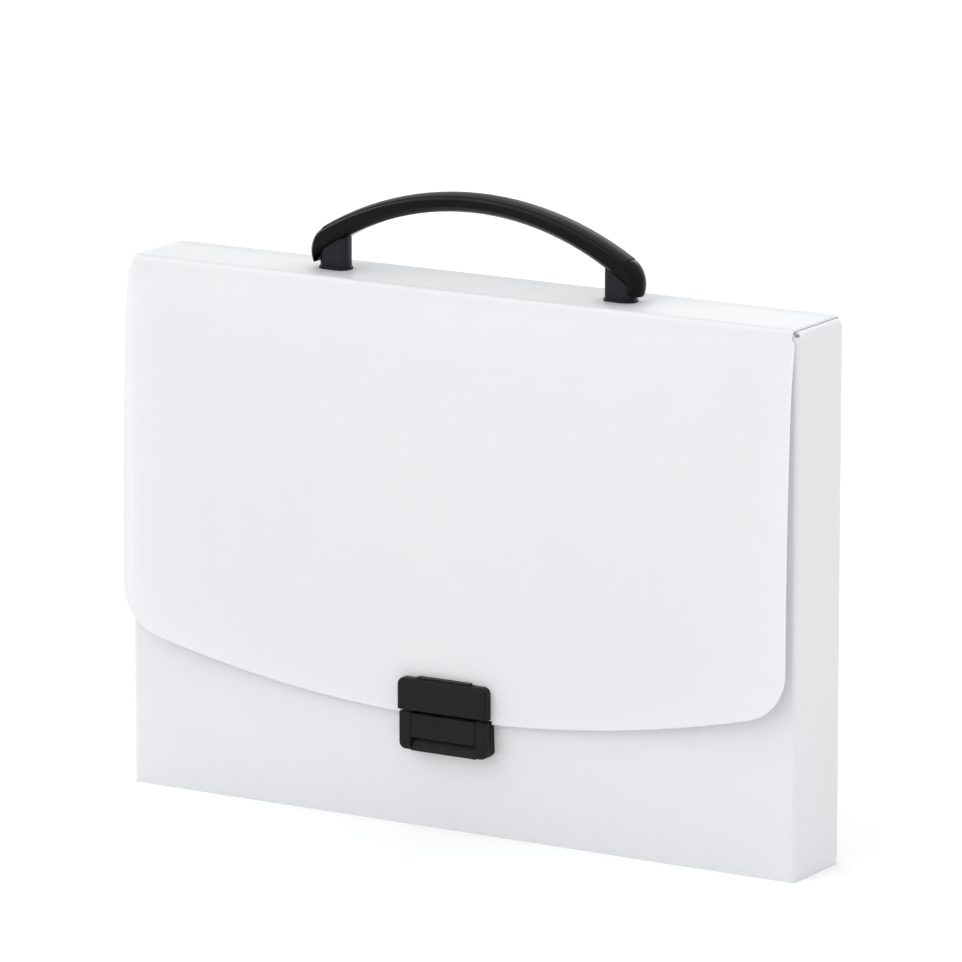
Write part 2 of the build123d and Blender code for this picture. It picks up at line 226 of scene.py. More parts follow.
def noiseIn(tree, scale, detail, roughness):
    noise = tree.nodes.new("ShaderNodeTexNoise")
    noise.inputs["Scale"].default_value = scale
    noise.inputs["Detail"].default_value = detail
    noise.inputs["Roughness"].default_value = roughness
    return noise


def rangeIn(tree, low, high):
    spread = tree.nodes.new("ShaderNodeMapRange")
    spread.inputs["To Min"].default_value = low
    spread.inputs["To Max"].default_value = high
    return spread


# Fine moulded or rolled grain: a normal, and a roughness that wanders about its middle value
def makeGrainGroup():
    group, entry, result = newGroup(
        "plasticGrain",
        [
            ("Grain Scale", "NodeSocketFloat", 900.0),
            ("Grain Depth", "NodeSocketFloat", 0.1),
            ("Roughness", "NodeSocketFloat", 0.4),
            ("Wander", "NodeSocketFloat", 0.05),
        ],
        [("Roughness", "NodeSocketFloat"), ("Normal", "NodeSocketVector")],
    )
    place = group.nodes.new("ShaderNodeTexCoord")
    fine = noiseIn(group, 900, 3, 0.6)
    broad = noiseIn(group, 45, 2, 0.5)
    bump = group.nodes.new("ShaderNodeBump")
    bump.inputs["Distance"].default_value = 0.05 * mm
    spread = rangeIn(group, -1, 1)
    change = group.nodes.new("ShaderNodeMath")
    change.operation = "MULTIPLY"
    total = group.nodes.new("ShaderNodeMath")
    total.operation = "ADD"
    linkNodes(
        group,
        (place.outputs["Object"], fine.inputs["Vector"]),
        (place.outputs["Object"], broad.inputs["Vector"]),
        (entry.outputs["Grain Scale"], fine.inputs["Scale"]),
        (fine.outputs["Fac"], bump.inputs["Height"]),
        (entry.outputs["Grain Depth"], bump.inputs["Strength"]),
        (broad.outputs["Fac"], spread.inputs["Value"]),
        (spread.outputs["Result"], change.inputs[0]),
        (entry.outputs["Wander"], change.inputs[1]),
        (change.outputs[0], total.inputs[0]),
        (entry.outputs["Roughness"], total.inputs[1]),
        (total.outputs[0], result.inputs["Roughness"]),
        (bump.outputs["Normal"], result.inputs["Normal"]),
    )
    return group


# Faint clouding of a rolled sheet or a moulding between two near colours
def makeCloudGroup():
    group, entry, result = newGroup(
        "cloudedColour",
        [
            ("Light Colour", "NodeSocketColor", (1, 1, 1, 1)),
            ("Deep Colour", "NodeSocketColor", (0.9, 0.9, 0.9, 1)),
            ("Cloud Scale", "NodeSocketFloat", 20.0),
        ],
        [("Colour", "NodeSocketColor")],
    )
    place = group.nodes.new("ShaderNodeTexCoord")
    cloud = noiseIn(group, 20, 4, 0.55)
    mix = group.nodes.new("ShaderNodeMix")
    mix.data_type = "RGBA"
    linkNodes(
        group,
        (place.outputs["Object"], cloud.inputs["Vector"]),
        (entry.outputs["Cloud Scale"], cloud.inputs["Scale"]),
        (cloud.outputs["Fac"], mix.inputs["Factor"]),
        (entry.outputs["Light Colour"], mix.inputs["A"]),
        (entry.outputs["Deep Colour"], mix.inputs["B"]),
        (mix.outputs["Result"], result.inputs["Colour"]),
    )
    return group


grainGroup = makeGrainGroup()
cloudGroup = makeCloudGroup()


def placeGroup(tree, group, **values):
    node = tree.nodes.new("ShaderNodeGroup")
    node.node_tree = group
    for label, value in values.items():
        node.inputs[label.replace("_", " ")].default_value = value
    return node


# One plastic: its two near colours, grain, roughness and plain shader values
def makePlastic(name, light, deep, cloudScale, grainScale, grainDepth, roughness, wander, **plain):
    material = bpy.data.materials.new(name)
    material.use_nodes = True
    tree = material.node_tree
    shader = tree.nodes["Principled BSDF"]
    cloud = placeGroup(tree, cloudGroup, Light_Colour=light, Deep_Colour=deep, Cloud_Scale=cloudScale)
    grain = placeGroup(
        tree,
        grainGroup,
        Grain_Scale=grainScale,
        Grain_Depth=grainDepth,
        Roughness=roughness,
        Wander=wander,
    )
    linkNodes(
        tree,
        (cloud.outputs["Colour"], shader.inputs["Base Color"]),
        (grain.outputs["Roughness"], shader.inputs["Roughness"]),
        (grain.outputs["Normal"], shader.inputs["Normal"]),
    )
    for label, value in plain.items():
        shader.inputs[label.replace("_", " ")].default_value = value
    return material


frostedSheet = makePlastic(
    "frostedSheet", (0.93, 0.945, 0.96, 1), (0.90, 0.92, 0.94, 1), 9,
    1400, 0.10, 0.38, 0.04, Alpha=0.74, IOR=1.49, Specular_IOR_Level=0.45,
)
# Cut edges of the sheets: a lighter, less see-through colour, a painted glow standing in for light the
# frosted sheet carries to its edges
frostedRimPaintedGlow = makePlastic(
    "frostedRimPaintedGlow", (0.95, 0.965, 0.98, 1), (0.92, 0.94, 0.96, 1), 30,
    1400, 0.05, 0.35, 0.04, Alpha=0.9, IOR=1.49,
)
whitePlate = makePlastic(
    "whitePlate", (0.82, 0.83, 0.84, 1), (0.78, 0.79, 0.80, 1), 60,
    900, 0.10, 0.42, 0.05,
)
glossBlack = makePlastic(
    "glossBlack", (0.0025, 0.0028, 0.0032, 1), (0.0015, 0.0017, 0.0020, 1), 60,
    700, 0.03, 0.17, 0.03, Specular_IOR_Level=0.12,
)
satinBlack = makePlastic(
    "satinBlack", (0.010, 0.011, 0.012, 1), (0.007, 0.008, 0.009, 1), 60,
    1500, 0.12, 0.34, 0.04, Specular_IOR_Level=0.11,
)
postBlack = makePlastic(
    "postBlack", (0.014, 0.016, 0.020, 1), (0.010, 0.012, 0.015, 1), 60,
    900, 0.06, 0.24, 0.04, Specular_IOR_Level=0.14,
)
latchBlack = makePlastic(
    "latchBlack", (0.011, 0.0125, 0.0135, 1), (0.008, 0.009, 0.010, 1), 80,
    1100, 0.14, 0.42, 0.06, Specular_IOR_Level=0.12,
)
screwSteel = makePlastic(
    "screwSteel", (0.62, 0.62, 0.60, 1), (0.50, 0.50, 0.49, 1), 300,
    2000, 0.06, 0.30, 0.08, Metallic=1.0,
)
print("materials are made")


# Mesh helpers

def arcPoints(center, radius, start, end, steps):
    turns = [radians(start + (end - start) * step / steps) for step in range(steps + 1)]
    return [(center[0] + radius * cos(turn), center[1] + radius * sin(turn)) for turn in turns]


def spaced(low, high, pitch):
    count = max(1, round((high - low) / pitch))
    return [low + (high - low) * step / count for step in range(count + 1)]


def joined(*runs):
    path = []
    for run in runs:
        for point in run:
            if not path or hypot(point[0] - path[-1][0], point[1] - path[-1][1]) > 0.01:
                path.append(point)
    return path


def newEdges(made):
    verts = {item for item in made["geom"] if isinstance(item, bmesh.types.BMVert)}
    edges = [item for item in made["geom"] if isinstance(item, bmesh.types.BMEdge)]
    return [edge for edge in edges if set(edge.verts) <= verts]


# Open section carried along a direction, through each of the stations
def carry(section, stations, place, direction):
    bm = bmesh.new()
    verts = [bm.verts.new(place(*point)) for point in section]
    edges = [bm.edges.new(pair) for pair in zip(verts, verts[1:])]
    bmesh.ops.translate(bm, verts=verts, vec=Vector(direction) * stations[0])
    for near, far in zip(stations, stations[1:]):
        edges = newEdges(bmesh.ops.extrude_edge_only(bm, edges=edges))
        moved = list({vert for edge in edges for vert in edge.verts})
        bmesh.ops.translate(bm, verts=moved, vec=Vector(direction) * (far - near))
    return bm


# Section in Y and Z carried across the case
def carryAcross(section, stations):
    return carry(section, stations, lambda y, z: (0, y, z), (1, 0, 0))


def geomOf(faces):
    edges = {edge for face in faces for edge in face.edges}
    verts = {vert for face in faces for vert in face.verts}
    return list(faces) + list(edges) + list(verts)


def facesIn(made):
    return [item for item in made["geom"] if isinstance(item, bmesh.types.BMFace)]


# Lines round a convex outline in X and Z, each as a point and the way out of the shape
def cornerLines(center, radius, start, end, steps):
    lines = []
    for step in range(steps + 1):
        turn = radians(start + (end - start) * step / steps)
        out = Vector((cos(turn), 0, sin(turn)))
        lines.append((Vector((center[0], 0, center[1])) + out * radius, out))
    return lines


# Cuts away all that lies outside the lines
def trimSheet(bm, lines):
    for point, out in lines:
        geom = bm.verts[:] + bm.edges[:] + bm.faces[:]
        bmesh.ops.bisect_plane(bm, geom=geom, plane_co=point, plane_no=out, clear_outer=True)


# Cuts a window out of these faces, inside the lines
def punchWindow(bm, faces, lines):
    inside = list(faces)
    for point, out in lines:
        made = bmesh.ops.bisect_plane(bm, geom=geomOf(inside), plane_co=point, plane_no=out)
        inside = [
            face for face in facesIn(made) if (face.calc_center_median() - point).dot(out) < 0
        ]
    bmesh.ops.delete(bm, geom=inside, context="FACES")


# Turns an open sheet so that the face nearest to a point looks along a direction
def faceOut(bm, near, direction):
    bmesh.ops.recalc_face_normals(bm, faces=bm.faces[:])
    bm.normal_update()
    nearest = min(bm.faces, key=lambda face: (face.calc_center_median() - Vector(near)).length)
    if nearest.normal.dot(Vector(direction)) < 0:
        bmesh.ops.reverse_faces(bm, faces=bm.faces[:])


def shapeBevel(bm, edges, width, segments):
    bmesh.ops.bevel(
        bm, geom=edges, offset=width, offset_type="OFFSET", segments=segments,
        profile=0.5, affect="EDGES", material=-1, clamp_overlap=True,
    )


def roundVerts(bm, verts, radius, segments):
    bmesh.ops.bevel(
        bm, geom=verts, offset=radius, offset_type="OFFSET", segments=segments,
        profile=0.5, affect="VERTICES", material=-1, clamp_overlap=True,
    )


def pushFace(bm, faces, move):
    made = bmesh.ops.extrude_face_region(bm, geom=faces)
    verts = [item for item in made["geom"] if isinstance(item, bmesh.types.BMVert)]
    bmesh.ops.translate(bm, verts=verts, vec=move)
    return facesIn(made)


def blockBetween(bm, low, high):
    made = bmesh.ops.create_cube(bm, size=1)
    size = [far - near for near, far in zip(low, high)]
    middle = [(near + far) / 2 for near, far in zip(low, high)]
    bmesh.ops.scale(bm, vec=size, verts=made["verts"])
    bmesh.ops.translate(bm, vec=middle, verts=made["verts"])
    return made["verts"]


def edgesWhere(bm, test):
    return [edge for edge in bm.edges if all(test(vert.co) for vert in edge.verts)]


def facesWhere(bm, test):
    return [face for face in bm.faces if test(face.calc_center_median(), face.normal)]


# Splits faces along planes square to one axis
def splitFaces(bm, faces, axis, places):
    normal = [1 if index == axis else 0 for index in range(3)]
    for place in places:
        point = [place if index == axis else 0 for index in range(3)]
        geom = geomOf([face for face in faces if face.is_valid])
        made = bmesh.ops.bisect_plane(bm, geom=geom, plane_co=point, plane_no=normal)
        faces = facesIn(made)
    return faces


# Pin or boss along an axis, with softened ends
def pinAlong(bm, start, end, radius, soft, segments=24):
    run = Vector(end) - Vector(start)
    made = bmesh.ops.create_cone(
        bm, cap_ends=True, segments=segments, radius1=radius, radius2=radius, depth=run.length,
    )
    turn = run.to_track_quat("Z", "Y").to_matrix()
    ends = {edge for vert in made["verts"] for edge in vert.link_edges}
    rims = [edge for edge in ends if abs(edge.verts[0].co.z - edge.verts[1].co.z) < 0.001]
    bmesh.ops.rotate(bm, cent=(0, 0, 0), matrix=turn, verts=made["verts"])
    bmesh.ops.translate(bm, vec=(Vector(start) + Vector(end)) / 2, verts=made["verts"])
    shapeBevel(bm, rims, soft, 2)


def finishPiece(name, bm, body, nodes, materials, sheetThickness=0, sharpAngle=35):
    merged = 0.001
    bmesh.ops.remove_doubles(bm, verts=bm.verts[:], dist=merged)
    if not sheetThickness:
        bmesh.ops.recalc_face_normals(bm, faces=bm.faces[:])
    bmesh.ops.scale(bm, vec=(mm, mm, mm), verts=bm.verts[:])
    for face in bm.faces:
        face.smooth = True
    mesh = bpy.data.meshes.new(name)
    bm.to_mesh(mesh)
    bm.free()
    for material in materials:
        mesh.materials.append(material)
    piece = bpy.data.objects.new(name, mesh)
    bpy.context.scene.collection.objects.link(piece)
    if sheetThickness:
        wall = piece.modifiers.new("wall", "SOLIDIFY")
        wall.thickness = sheetThickness * mm
        wall.offset = -1
        wall.use_even_offset = True
        wall.material_offset_rim = len(materials) - 1
        split = piece.modifiers.new("split", "EDGE_SPLIT")
        split.split_angle = radians(sharpAngle)
        split.use_edge_sharp = False
    else:
        mesh.set_sharp_from_angle(angle=radians(sharpAngle))
        weight = piece.modifiers.new("weight", "WEIGHTED_NORMAL")
        weight.keep_sharp = True
    if isinstance(body, str):
        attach(piece, body)
    else:
        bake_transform(piece)
    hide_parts(*nodes)
    return piece


# Folded sheet body

sheet = {
    "thickness": 1.0,
    "foldRadius": 2.5,
    "bulge": 5.4,
    "acrossPitch": 5.0,
    "upPitch": 5.0,
    "foldSteps": 8,
    "weldTab": 12.5,
    "tabRelief": 0.7,
    "gussetBend": 2.0,
    "gussetInset": 0.2,
    "lidGap": 0.3,
    "creaseReach": 3.5,
    "flangeGap": 0.1,
    "weldFlange": 13.0,
    "flangeRows": (6, 10),
}
backHigh = nodeBox("back_sheet")[1]
frontLow, frontHigh = nodeBox("front_sheet")
lidHigh = nodeBox("top_panel")[1]
caseHalf = frontHigh.x
caseBack = backHigh.y
caseFront = frontLow.y + sheet["bulge"]
caseTop = lidHigh.z
panelHalf = caseHalf - sheet["foldRadius"]
lidHalf = lidHigh.x
creaseZ = caseTop - sheet["creaseReach"]
bendZ = caseTop - sheet["foldRadius"]
tabBack = caseBack - sheet["thickness"]
lidUnder = caseTop - sheet["thickness"] - sheet["lidGap"]
gussetTop = lidUnder - sheet["gussetBend"]
gussetFront = caseFront + sheet["foldRadius"] + sheet["gussetInset"]
gussetBack = tabBack - sheet["foldRadius"] - sheet["gussetInset"]

scoop = {"halfWidth": 137.2, "floor": 153.5, "taper": 17.4, "corner": 14.0, "steps": 8}


# Front panel's bulge: 27 / 4 brings the peak of rise * (1 - rise) ** 2 to 1
def panelDepth(x, z):
    rise = z / caseTop
    across = 1 - (x / panelHalf) ** 2
    return caseFront - sheet["bulge"] * across * 27 / 4 * rise * (1 - rise) ** 2


def scoopLines():
    lean = radians(scoop["taper"])
    rise = caseTop - scoop["floor"]
    floorHalf = scoop["halfWidth"] - rise * tan(lean)
    centerX = floorHalf + scoop["corner"] * tan(lean) - scoop["corner"] / cos(lean)
    center = (centerX, scoop["floor"] + scoop["corner"])
    right = cornerLines(center, scoop["corner"], -90, -scoop["taper"], scoop["steps"])
    left = [(Vector((-p.x, 0, p.z)), Vector((-out.x, 0, out.z))) for p, out in right[1:]]
    return right + left


# Sheets wear the frosted colour on their faces and the painted edge glow on their cut rims
def finishSheet(name, bm, body, node):
    finishPiece(name, bm, body, [node], [frostedSheet, frostedRimPaintedGlow], sheet["thickness"])


def makeFrontSheet():
    fold, steps = sheet["foldRadius"], sheet["foldSteps"]
    half = joined(
        [(x, caseFront) for x in spaced(0, panelHalf, sheet["acrossPitch"])],
        arcPoints((panelHalf, caseFront + fold), fold, -90, 0, steps),
        [(caseHalf, y) for y in spaced(gussetFront, gussetBack, sheet["acrossPitch"])],
        arcPoints((panelHalf, tabBack - fold), fold, 0, 90, steps),
        [(x, tabBack) for x in (panelHalf, panelHalf - sheet["weldTab"])],
    )
    tabLow, tabHigh = fold + sheet["tabRelief"], creaseZ - sheet["lidGap"]
    heights = [0] + spaced(tabLow, tabHigh, sheet["upPitch"]) + [gussetTop, bendZ + sheet["lidGap"]]
    bm = carry(half, heights, lambda a, b: (a, b, 0), (0, 0, 1))
    bm.verts.ensure_lookup_table()
    geom = bm.verts[:] + bm.edges[:] + bm.faces[:]
    bmesh.ops.mirror(bm, geom=geom, axis="X", merge_dist=0.001)
    panelEdge = panelHalf + touch

    def unwanted(face):
        center = face.calc_center_median()
        isPanel = center.y < caseFront + touch and abs(center.x) < panelEdge
        isTab = center.y > tabBack - fold
        overWall = center.z > gussetTop and not isPanel
        offTab = isTab and abs(center.x) < panelHalf + fold and not tabLow < center.z < tabHigh
        return overWall or offTab

    bmesh.ops.delete(bm, geom=[face for face in bm.faces if unwanted(face)], context="FACES")
    panel = [face for face in bm.faces if face.calc_center_median().y < caseFront + touch]
    panel = [face for face in panel if abs(face.calc_center_median().x) < panelEdge]
    punchWindow(bm, panel, scoopLines())
    for vert in bm.verts:
        if vert.co.y < caseFront + 0.001:
            vert.co.y = panelDepth(vert.co.x, vert.co.z)
    for side in (-1, 1):
        lip = [
            edge for edge in bm.edges
            if all(
                abs(vert.co.x - side * caseHalf) < touch and abs(vert.co.z - gussetTop) < touch
                and gussetFront - touch < vert.co.y < gussetBack + touch
                for vert in edge.verts
            )
        ]
        hinge = (side * (caseHalf - sheet["gussetBend"]), 0, gussetTop)
        bmesh.ops.spin(
            bm, geom=lip, cent=hinge, axis=(0, -side, 0), dvec=(0, 0, 0),
            angle=pi / 2, steps=sheet["foldSteps"] // 2, use_duplicate=False,
        )
    bmesh.ops.remove_doubles(bm, verts=bm.verts[:], dist=touch)
    faceOut(bm, (0, caseFront, scoop["floor"] / 2), (0, -1, 0))
    finishSheet("frontSheet", bm, "case", "front_sheet")


def makeBackSheet():
    fold, steps = sheet["foldRadius"], sheet["foldSteps"]
    flangeFront = caseFront + sheet["thickness"] + sheet["flangeGap"]
    section = joined(
        [(caseBack, z) for z in reversed(spaced(fold, creaseZ, sheet["upPitch"]))],
        arcPoints((caseBack - fold, fold), fold, 0, -90, steps),
        [(y, 0) for y in reversed(spaced(flangeFront + fold, caseBack - fold, sheet["upPitch"]))],
        arcPoints((flangeFront + fold, fold), fold, -90, -180, steps),
        [(flangeFront, z) for z in (fold, *sheet["flangeRows"], sheet["weldFlange"])],
    )
    wallHalf = caseHalf - 2 * sheet["thickness"]
    flangeHalf = panelHalf - sheet["weldTab"]
    stations = [-wallHalf] + spaced(-flangeHalf, flangeHalf, sheet["acrossPitch"]) + [wallHalf]
    bm = carryAcross(section, stations)
    beyond = [
        face for face in bm.faces
        if abs(face.calc_center_median().x) > flangeHalf
        and face.calc_center_median().y < flangeFront + fold / 2
        and face.calc_center_median().z > fold / 2
    ]
    bmesh.ops.delete(bm, geom=beyond, context="FACES")
    for vert in bm.verts:
        if vert.co.y < flangeFront + fold:
            share = min(1, max(0, (flangeFront + fold - vert.co.y) / fold))
            vert.co.y += share * (panelDepth(vert.co.x, vert.co.z) - caseFront)
    faceOut(bm, (0, caseBack, caseTop / 2), (0, 1, 0))
    finishSheet("backSheet", bm, "case", "back_sheet")


makeFrontSheet()
makeBackSheet()
print("case sheets are made")


# Lid, creases and hanging flap

lid = {
    "scoreY": 1.0,
    "scoreHalf": 0.3,
    "scoreDepth": 0.25,
    "creaseSteps": 10,
    "creasePitch": 0.5,
}
flap = {
    "slope": 11.0,
    "kneeSlope": 3.0,
    "straightHeight": 100.0,
    "hemRadius": 600.0,
    "corner": 22.0,
    "shoulder": 3.0,
    "notchHalf": 22.7,
    "notchTop": 53.0,
    "arcSteps": 12,
    "cornerSteps": 10,
    "hemPitch": 6.0,
    "notchReach": (30.0, 6.0),
    "merge": 0.02,
}
flapLow, flapHigh = nodeBox("flap_panel")
lidFront = caseFront - sheet["lidGap"] - sheet["thickness"]


def makeTopPanel():
    low, high = lidFront + sheet["creaseReach"], caseBack - sheet["creaseReach"]
    near, far = lid["scoreY"] - lid["scoreHalf"], lid["scoreY"] + lid["scoreHalf"]
    section = joined(
        [(y, caseTop) for y in spaced(low, near, sheet["upPitch"])],
        [(lid["scoreY"], caseTop - lid["scoreDepth"])],
        [(y, caseTop) for y in spaced(far, high, sheet["upPitch"])],
    )
    bm = carryAcross(section, spaced(-lidHalf, lidHalf, sheet["acrossPitch"]))
    faceOut(bm, (0, low, caseTop), (0, 0, 1))
    finishSheet("topPanel", bm, "lid", "top_panel")


def makeBackCrease():
    fold = sheet["foldRadius"]
    flatPart = spaced(caseBack - sheet["creaseReach"], caseBack - fold, lid["creasePitch"])
    section = joined(
        [(caseBack, z) for z in spaced(creaseZ, bendZ, lid["creasePitch"])],
        arcPoints((caseBack - fold, bendZ), fold, 0, 90, lid["creaseSteps"]),
        [(y, caseTop) for y in reversed(flatPart)],
    )
    bm = carryAcross(section, spaced(-lidHalf, lidHalf, sheet["acrossPitch"]))
    faceOut(bm, (0, caseBack, creaseZ), (0, 1, 0))
    crossing = {
        "from": "case",
        "to": "lid",
        "start": (0, caseBack * mm, creaseZ * mm),
        "end": (0, (caseBack - sheet["creaseReach"]) * mm, caseTop * mm),
    }
    finishSheet("backCrease", bm, crossing, "back_crease")


# Where the front crease ends and the flap starts, in Y and Z
def flapStart():
    fold, lean = sheet["foldRadius"], radians(flap["slope"])
    bendY = lidFront + fold - fold * cos(lean)
    bendEnd = bendZ + fold * sin(lean)
    return bendY - (bendEnd - creaseZ) * tan(lean), creaseZ


def makeFrontCrease():
    fold = sheet["foldRadius"]
    startY, startZ = flapStart()
    flatPart = spaced(lidFront + fold, lidFront + sheet["creaseReach"], lid["creasePitch"])
    section = joined(
        [(y, caseTop) for y in reversed(flatPart)],
        arcPoints((lidFront + fold, bendZ), fold, 90, 180 - flap["slope"], lid["creaseSteps"]),
        [(startY, startZ)],
    )
    bm = carryAcross(section, spaced(-lidHalf, lidHalf, sheet["acrossPitch"]))
    faceOut(bm, (0, lidFront + sheet["creaseReach"], caseTop), (0, 0, 1))
    crossing = {
        "from": "lid",
        "to": "flap",
        "start": (0, (lidFront + sheet["creaseReach"]) * mm, caseTop * mm),
        "end": (0, startY * mm, startZ * mm),
    }
    finishSheet("frontCrease", bm, crossing, "front_crease")


# Side view of the flap: a tight and a slack arc, then straight down
def flapSection():
    startY, startZ = flapStart()
    steep, knee = radians(flap["slope"]), radians(flap["kneeSlope"])
    drop, swing = startZ - flap["straightHeight"], startY - flapLow.y
    upperY, upperZ = cos(knee) - cos(steep), sin(steep) - sin(knee)
    lowerY, lowerZ = 1 - cos(knee), sin(knee)
    share = upperZ * lowerY - lowerZ * upperY
    upperRadius = (drop * lowerY - swing * lowerZ) / share
    lowerRadius = (swing * upperZ - drop * upperY) / share
    upperCenter = (startY + upperRadius * cos(steep), startZ - upperRadius * sin(steep))
    jointY = upperCenter[0] - upperRadius * cos(knee)
    jointZ = upperCenter[1] + upperRadius * sin(knee)
    lowerCenter = (jointY + lowerRadius * cos(knee), jointZ - lowerRadius * sin(knee))
    straight = spaced(flapLow.z - touch, flap["straightHeight"], sheet["upPitch"])
    return joined(
        arcPoints(upperCenter, upperRadius, 180 - flap["slope"], 180 - flap["kneeSlope"], flap["arcSteps"]),
        arcPoints(lowerCenter, lowerRadius, 180 - flap["kneeSlope"], 180, 2 * flap["arcSteps"]),
        [(flapLow.y, z) for z in reversed(straight)],
    )


def flapLines():
    half, radius, corner = flapHigh.x, flap["hemRadius"], flap["corner"]
    centerZ = flapLow.z + radius
    cornerX = half - corner
    cornerZ = centerZ - sqrt((radius - corner) ** 2 - cornerX ** 2)
    turn = atan2(cornerX, centerZ - cornerZ)
    hemSteps = round(radius * turn / flap["hemPitch"])
    right = []
    for step in range(hemSteps + 1):
        swing = turn * step / hemSteps
        out = Vector((sin(swing), 0, -cos(swing)))
        right.append((Vector((0, 0, centerZ)) + out * radius, out))
    start = turn * 180 / pi - 90
    right += cornerLines((cornerX, cornerZ), corner, start, 0, flap["cornerSteps"])
    shoulder = Vector((half, 0, creaseZ - flap["shoulder"]))
    run = Vector((lidHalf, 0, creaseZ)) - shoulder
    right.append((shoulder, Vector((run.z, 0, -run.x)).normalized()))
    left = [(Vector((-point.x, 0, point.z)), Vector((-out.x, 0, out.z))) for point, out in right[1:]]
    return right + left


def makeFlapPanel():
    half = flapHigh.x
    stations = spaced(-half - touch, half + touch, sheet["acrossPitch"])
    bm = carryAcross(flapSection(), stations)
    trimSheet(bm, flapLines())
    notch = [
        (Vector((flap["notchHalf"], 0, 0)), Vector((1, 0, 0))),
        (Vector((-flap["notchHalf"], 0, 0)), Vector((-1, 0, 0))),
        (Vector((0, 0, flap["notchTop"])), Vector((0, 0, 1))),
    ]
    reachX, reachZ = flap["notchReach"]
    low = [face for face in bm.faces if face.calc_center_median().z < flap["notchTop"] + reachZ]
    punchWindow(bm, [face for face in low if abs(face.calc_center_median().x) < reachX], notch)
    bmesh.ops.remove_doubles(bm, verts=bm.verts[:], dist=flap["merge"])
    faceOut(bm, (0, flapLow.y, flap["straightHeight"]), (0, -1, 0))
    finishSheet("flapPanel", bm, "flap", "flap_panel")


dust = {"corner": 6.0, "cornerSteps": 6}


def makeDustFlap(side, name, node, body):
    low, high = nodeBox(node)
    bm = bmesh.new()
    inner, outer = (low.x, high.x) if side > 0 else (high.x, low.x)
    corners = [(outer, low.y), (outer, high.y), (inner, high.y), (inner, low.y)]
    face = bm.faces.new([bm.verts.new((x, y, high.z)) for x, y in corners])
    tips = [vert for vert in face.verts if abs(vert.co.x - inner) < touch]
    roundVerts(bm, tips, dust["corner"], dust["cornerSteps"])
    faceOut(bm, (inner, 0, high.z), (0, 0, 1))
    finishSheet(name, bm, body, node)


makeTopPanel()
makeBackCrease()
makeFrontCrease()
makeFlapPanel()
makeDustFlap(-1, "dustFlapLeft", "dust_flap_left", "dust_left")
makeDustFlap(1, "dustFlapRight", "dust_flap_right", "dust_right")
print("lid, creases and flaps are made")


# Latch: keeper on the flap, base and lever on the case

keeper = {
    "corner": 3.0,
    "cornerSteps": 7,
    "rim": 0.8,
    "rimSteps": 3,
    "ribPitch": 1.45,
    "ribGroove": 0.5,
    "ribDepth": 0.18,
    "ribHalf": 20.0,
    "ribMargin": 1.5,
    "tabHalf": 13.0,
    "tabRise": 0.8,
    "tabBack": 1.1,
    "bodyBack": 4.0,
    "studX": 18.6,
    "studRadius": 1.5,
    "studProud": 0.1,
    "studSink": 0.5,
    "studSoft": 0.3,
}


def makeLatchKeeper():
    low, high = nodeBox("latch_keeper")
    top = high.z - keeper["tabRise"]
    back = low.y + keeper["bodyBack"]
    bm = bmesh.new()
    blockBetween(bm, (low.x, low.y, low.z), (high.x, back, top))
    corners = [
        edge for edge in edgesWhere(bm, lambda co: co.z > top - touch)
        if abs(edge.verts[0].co.x - edge.verts[1].co.x) < touch
    ]
    shapeBevel(bm, corners, keeper["corner"], keeper["cornerSteps"])
    shapeBevel(bm, edgesWhere(bm, lambda co: co.y < low.y + touch), keeper["rim"], keeper["rimSteps"])
    bm.normal_update()
    lid = facesWhere(bm, lambda center, normal: normal.z > facing)
    lid = splitFaces(bm, lid, 0, (-keeper["tabHalf"], keeper["tabHalf"]))
    splitFaces(bm, lid, 1, [low.y + keeper["tabBack"]])
    bm.normal_update()
    tab = facesWhere(
        bm,
        lambda center, normal: normal.z > facing and abs(center.x) < keeper["tabHalf"]
        and center.y > low.y + keeper["tabBack"],
    )
    pushFace(bm, tab, (0, 0, keeper["tabRise"]))
    bm.normal_update()
    face = facesWhere(bm, lambda center, normal: normal.y < -facing and center.y < low.y + touch)
    face = splitFaces(bm, face, 0, (-keeper["ribHalf"], keeper["ribHalf"]))
    middles = spaced(low.z + keeper["ribMargin"], top - keeper["ribMargin"], keeper["ribPitch"])
    cuts = [middle + side * keeper["ribGroove"] / 2 for middle in middles for side in (-1, 1)]
    splitFaces(bm, face, 2, cuts)
    bm.normal_update()
    grooves = facesWhere(
        bm,
        lambda center, normal: center.y < low.y + touch and abs(center.x) < keeper["ribHalf"]
        and any(abs(center.z - middle) < keeper["ribGroove"] / 2 - touch for middle in middles),
    )
    pushFace(bm, grooves, (0, keeper["ribDepth"], 0))
    for side in (-1, 1):
        x, z = side * keeper["studX"], (low.z + top) / 2
        start, end = (x, back - keeper["studSink"], z), (x, high.y + keeper["studProud"], z)
        pinAlong(bm, start, end, keeper["studRadius"], keeper["studSoft"])
    finishPiece("latchKeeper", bm, "flap", ["latch_keeper"], [latchBlack])


base = {
    "corner": 3.0,
    "cornerSteps": 7,
    "rim": 0.3,
    "pocketHalf": 16.15,
    "pocketBack": 4.2,
    "seat": 0.1,
    "layerDepth": 2.5,
    "layerGroove": 0.45,
    "layerInset": 0.35,
    "studX": 18.6,
    "studRadius": 1.5,
    "headRadius": 2.4,
    "headHeight": 0.7,
    "neckSoft": 0.1,
    "headSoft": 0.3,
}


